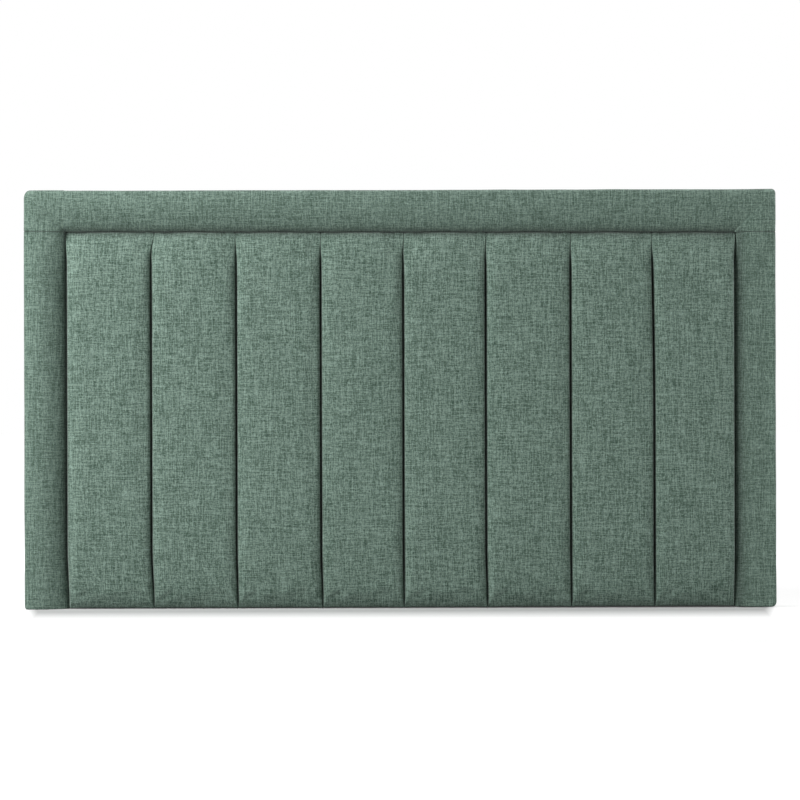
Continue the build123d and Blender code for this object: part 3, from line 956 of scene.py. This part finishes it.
bpy.ops.mesh.primitive_grid_add(x_subdivisions=168, y_subdivisions=92, size=1)
dust_sheet = bpy.context.object
dust_sheet.name = dust_sheet.data.name = "dust_sheet"
dust_sheet.scale = (*sheet_size, 1)
dust_sheet.rotation_euler = (math.pi / 2, 0, 0)
dust_sheet.location = (0, back_y - sheet_thickness, (sheet_low.z + sheet_high.z) / 2)
bpy.ops.object.transform_apply(location=True, rotation=True, scale=True)
modified(dust_sheet, "SOLIDIFY", thickness=sheet_thickness, offset=0)
for x, z in [(x, z) for x in (-bolt_x, bolt_x) for z in bolt_levels]:
    bpy.ops.mesh.primitive_cylinder_add(vertices=40, radius=hole_radius, depth=20 * mm,
                                        location=(x, back_y, z), rotation=(math.pi / 2, 0, 0))
    punch = bpy.context.object
    modified(dust_sheet, "BOOLEAN", object=punch, solver="EXACT")
    bpy.data.objects.remove(punch)
print("dust cover", len(dust_sheet.data.polygons), "faces")

# %% [markdown]
# ## How the dust cover lies
# The cloth is thin, so it shows what is under it. It lies on the hems at the edges, is drawn in by
# each staple and sinks a little between the timbers. Each point is moved by where it is.

# %% Dust cover slack
timber_width = 70 * mm
staple_reach = 16 * mm
staple_dimple, dimple_width = 0.35 * mm, 14 * mm


def staple_middles(node):
    """The middle of each staple's crown, from the points that lie on the back."""
    groups = []
    for point in points_of(node):
        if point[1] > back_y - 0.1 * mm:
            near = [group for group in groups if np.linalg.norm(group[0] - point) < staple_reach]
            if near:
                near[0].append(point)
            else:
                groups.append([point])
    return [np.mean(group, axis=0) for group in groups]


def wavy(points, scale, depth):
    """A slow noise over the back, from about -1 to 1."""
    return np.array([noise.noise(Vector((x * scale, depth, z * scale))) for x, _, z in points])


def slack(points):
    """How far each point of the sheet lies in front of the back plane."""
    x, z = np.abs(points[:, 0]), points[:, 2]
    from_edge = np.minimum(edge_x - x, np.minimum(z, top_z - z))
    off_hem = eased(from_edge, hem_reach, hem_reach + 14 * mm)
    off_frame = eased(from_edge, timber_width, timber_width + 40 * mm)
    for upright_x in (0, bolt_x):
        off_frame = np.minimum(off_frame, eased(np.abs(x - upright_x), 34 * mm, 64 * mm))
    sag = off_frame * (1.1 + 0.8 * wavy(points, 9, 0)) * mm
    crease = (0.4 + 0.6 * off_hem) * 0.12 * mm * wavy(points, 38, 5)
    return 0.5 * mm + off_hem * 0.9 * mm + sag + crease


sheet_points = points_of(dust_sheet)
staples = staple_middles(nodes["dust_cover_staples"])
held_back = slack(sheet_points)
for middle in staples:
    held_back += staple_dimple * bell(np.linalg.norm((sheet_points - middle)[:, ::2], axis=1), dimple_width)
sheet_points[:, 1] = np.minimum(sheet_points[:, 1] + sheet_thickness / 2 - held_back, back_y)
put_points(dust_sheet, sheet_points)
tidy_mesh(dust_sheet, merge=0.001 * mm)
print("held by", len(staples), "staples")

# %% [markdown]
# ## Finish of the dust cover
# The cloth is black fibres, welded together in a close grid. The welds leave a regular pattern of
# small pillows between them, and the fibres are a fine noise. Both read object coordinates,
# because the sheet is nearly flat.

# %% Dust cloth
weld_pitch = 1.6 * mm


def object_places(tree):
    """The object's own coordinates, in metres."""
    return tree.nodes.new("ShaderNodeTexCoord").outputs["Object"]


def dust_material():
    """Pressed black fibres in small welded pillows."""
    material, tree, shader = new_material("dust cloth")
    places = object_places(tree)
    across, _, up = parted(tree, places)
    column, level = [arithmetic(tree, "PINGPONG", arithmetic(tree, "DIVIDE", place, weld_pitch), 0.5)
                     for place in (across, up)]
    pillows = arithmetic(tree, "MULTIPLY", column, level)
    fibres = cloudy(tree, places, 900.0, 2.0)
    height = arithmetic(tree, "MULTIPLY_ADD", fibres, 0.3, arithmetic(tree, "MULTIPLY", pillows, 3.0))
    tone = blend(tree, 0.5, cloudy(tree, places, 14.0, 2.0), fibres)
    colour = between(tree, tone, as_light(30, 30, 31), as_light(58, 58, 60))
    set_inputs(tree, shader, {"Base Color": colour, "Roughness": 0.8})
    raised(tree, shader, height, 0.15 * mm, 0.6)
    return material


dress(dust_sheet, dust_material())
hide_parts("dust_cover")

# %% [markdown]
# ## Timber, plywood and steel
# Little of the frame shows, but every node gets its real finish, because parts also travel alone.
# Pine has grain along each member, plywood has a veneer face and dark glue lines on its edge, and
# the staples and tee nuts are zinc plated.

# %% Frame finishes
def drawn_out(tree, scale):
    """The object's coordinates with each axis scaled, for a grain that is longer than it is wide."""
    return made(tree, "ShaderNodeMapping", {"Vector": object_places(tree), "Scale": scale}).outputs[0]


def pine(name, along):
    """Pine with its grain along one axis."""
    material, tree, shader = new_material(name)
    places = drawn_out(tree, [6.0 if axis == along else 90.0 for axis in "XYZ"])
    tone = blend(tree, 0.35, cloudy(tree, places, 1.0, 3.0, 0.55), cloudy(tree, places, 9.0, 2.0))
    sharp = arithmetic(tree, "MULTIPLY_ADD", tone, 2.6, -0.8)
    set_inputs(tree, shader, {
        "Base Color": between(tree, sharp, as_light(174, 128, 82), as_light(226, 190, 142)),
        "Roughness": arithmetic(tree, "MULTIPLY_ADD", tone, -0.3, 0.85),
    })
    raised(tree, shader, tone, 0.2 * mm, 0.5)
    return material


def plywood(name, ply_pitch):
    """Plywood with a veneer face and glue lines through its depth."""
    material, tree, shader = new_material(name)
    grain = cloudy(tree, drawn_out(tree, (5.0, 40.0, 60.0)), 1.0, 4.0, 0.6)
    through = parted(tree, object_places(tree))[1]
    ply = arithmetic(tree, "PINGPONG", arithmetic(tree, "DIVIDE", through, ply_pitch), 0.5)
    glue = arithmetic(tree, "MULTIPLY", arithmetic(tree, "LESS_THAN", ply, 0.06), 0.6)
    sharp = arithmetic(tree, "MULTIPLY_ADD", grain, 2.4, -0.7)
    face = between(tree, sharp, as_light(178, 138, 96), as_light(216, 182, 138))
    set_inputs(tree, shader, {
        "Base Color": between(tree, glue, face, as_light(92, 60, 38)),
        "Roughness": arithmetic(tree, "MULTIPLY_ADD", grain, -0.2, 0.8),
    })
    raised(tree, shader, grain, 0.1 * mm, 0.4)
    return material


def zinc(name):
    """Zinc plating, with a faint cloudiness in its shine."""
    material, tree, shader = new_material(name)
    clouds = cloudy(tree, object_places(tree), 300.0, 3.0)
    set_inputs(tree, shader, {
        "Base Color": between(tree, clouds, as_light(176, 180, 184), as_light(206, 208, 212)),
        "Roughness": arithmetic(tree, "MULTIPLY_ADD", clouds, 0.2, 0.22),
        "Metallic": 1.0,
    })
    raised(tree, shader, clouds, 0.02 * mm, 0.3)
    return material


finishes = [
    (pine("level pine", "X"), ["frame_bottom_rail", "frame_top_rail"]),
    (pine("upright pine", "Z"), ["frame_left_stile", "frame_right_stile", "strut_upright_left",
                                 "frame_centre_upright", "strut_upright_right"]),
    (plywood("panel plywood", 1.8 * mm), ["front_panel"]),
    (plywood("batten plywood", 2 * mm), [f"border_{side}_batten" for side in border_pads]),
    (zinc("zinc"), ["tee_nuts", "panel_staples", "batten_staples", "dust_cover_staples"]),
    (upholstery, [name for name, node in nodes.items() if node.hide_render]),
]
for material, names in finishes:
    for name in names:
        nodes[name].data.materials.clear()
        nodes[name].data.materials.append(material)
    print(material.name, "on", len(names), "nodes")

# %% [markdown]
# ## Floor and light
# The photograph has a white ground with a soft shadow at the headboard's foot. The floor is pale to
# the camera and darker to the light it throws back, so it keeps the shadow without lighting the
# cloth from below. Away from the headboard a graded glow, seen only by the camera and in shine,
# takes the floor up to the world's white. The glow is painted light: its near edge sets where the
# shadow ends, so the shadow narrows and turns a little towards the camera, and a faint painted
# light under the foot lightens the line where the cloth meets the floor.

# %% Floor and world
shadow_taper = 0.12
shadow_turn = 0.03
ambient = 0.02


def greatest(tree, most, *others):
    """The greatest of several sockets."""
    for other in others:
        most = arithmetic(tree, "MAXIMUM", most, other)
    return most


def seen_directly(tree):
    """1 for what the camera sees, in shine and through glass too, and 0 for light that bounces."""
    rays = tree.nodes.new("ShaderNodeLightPath").outputs
    return greatest(tree, rays["Is Camera Ray"], rays["Is Glossy Ray"], rays["Is Transmission Ray"])


def backdrop_material(name, seen, bounced, lift, side_lift, under):
    """Floor that is white to the camera and darker to the light it throws back, with a graded glow of painted
    light that sets where the shadow ends.
    """
    material, tree, shader = new_material(name)
    direct = seen_directly(tree)
    x, y, _ = parted(tree, object_places(tree))
    across, away = arithmetic(tree, "ABSOLUTE", x), arithmetic(tree, "ABSOLUTE", y)

    def ramp(value, low, high, most=1.0):
        inputs = {"Value": value, "From Min": low, "From Max": high, "To Max": most}
        return made(tree, "ShaderNodeMapRange", inputs).outputs[0]

    tapered = arithmetic(tree, "MULTIPLY_ADD", away, shadow_taper, across)
    turned = arithmetic(tree, "MULTIPLY_ADD", x, shadow_turn, away)
    # Painted light: each ramp lifts the floor towards white, and together they set where the shadow ends; the
    # last is a faint painted light under the foot.
    glow = greatest(
        tree,
        ramp(tapered, edge_x - 20 * mm, edge_x + 2 * mm, side_lift),
        arithmetic(tree, "MULTIPLY", ramp(y, 0, 0.12), ramp(across, edge_x - 0.35, edge_x, side_lift)),
        ramp(turned, 0.1, 0.32, lift),
        ramp(across, edge_x + 0.1, edge_x + 1),
        ramp(away, 0.5, 1.5),
        ramp(away, 90 * mm, 40 * mm, under),
    )
    set_inputs(tree, shader, {
        "Base Color": between(tree, direct, (bounced,) * 3 + (1,), (seen,) * 3 + (1,)),
        "Roughness": 1.0,
        "Specular IOR Level": 0.0,
        "Emission Color": (1, 1, 1, 1),
        "Emission Strength": arithmetic(tree, "MULTIPLY", direct, glow),
    })
    return material


bpy.ops.mesh.primitive_plane_add(size=60)
floor = bpy.context.object
floor.name = "floor"
floor.data.materials.append(
    backdrop_material("floor", seen=0.64, bounced=0.35, lift=0.4, side_lift=0.62, under=0.06))

world = bpy.data.worlds.new("studio")
bpy.context.scene.world = world
world.use_nodes = True
sky = world.node_tree
sky.nodes.clear()
strength = arithmetic(sky, "MULTIPLY_ADD", seen_directly(sky), 1 - ambient, ambient)
white = made(sky, "ShaderNodeBackground", {"Color": (1, 1, 1, 1), "Strength": strength})
made(sky, "ShaderNodeOutputWorld", {"Surface": white.outputs[0]})
print("floor", floor.name, "world", world.name)

# %% [markdown]
# ## Lamps
# Five soft boxes stand three metres from the headboard's middle. Two at the left, one low and one
# high, make the pale left shoulders and the dark right ones. Two at the right fill the grooves and
# the border's right side. The last hangs above and a little behind, and drops the narrow shadow
# forward of the foot. A lamp's power is written as the level at which it would light a white card
# at that distance, so the levels can be compared.

# %% Lamps
lamp_distance = 3.0
lit_point = Vector((0, 0, 0.4))


def soft_box(name, azimuth, elevation, size, level):
    """A lamp that faces the headboard from angles to the right of its front and up from level."""
    azimuth, elevation = math.radians(azimuth), math.radians(elevation)
    outward = Vector((math.sin(azimuth) * math.cos(elevation),
                      -math.cos(azimuth) * math.cos(elevation), math.sin(elevation)))
    data = bpy.data.lights.new(name, "AREA")
    data.shape = "RECTANGLE"
    data.size, data.size_y = size
    data.energy = level * math.pi**2 * lamp_distance**2
    lamp = placed(name, data)
    lamp.location = lit_point + lamp_distance * outward
    lamp.rotation_euler = (-outward).to_track_quat("-Z", "Y").to_euler()


soft_box("key low", -45, 8, size=(1.0, 1.0), level=0.36)
soft_box("key high", -56, 37, size=(1.0, 1.0), level=0.73)
soft_box("right", 60, 8, size=(1.0, 1.0), level=0.21)
soft_box("side", 88, 10, size=(1.0, 1.0), level=0.32)
soft_box("top", 180, 80, size=(2.0, 0.8), level=0.44)
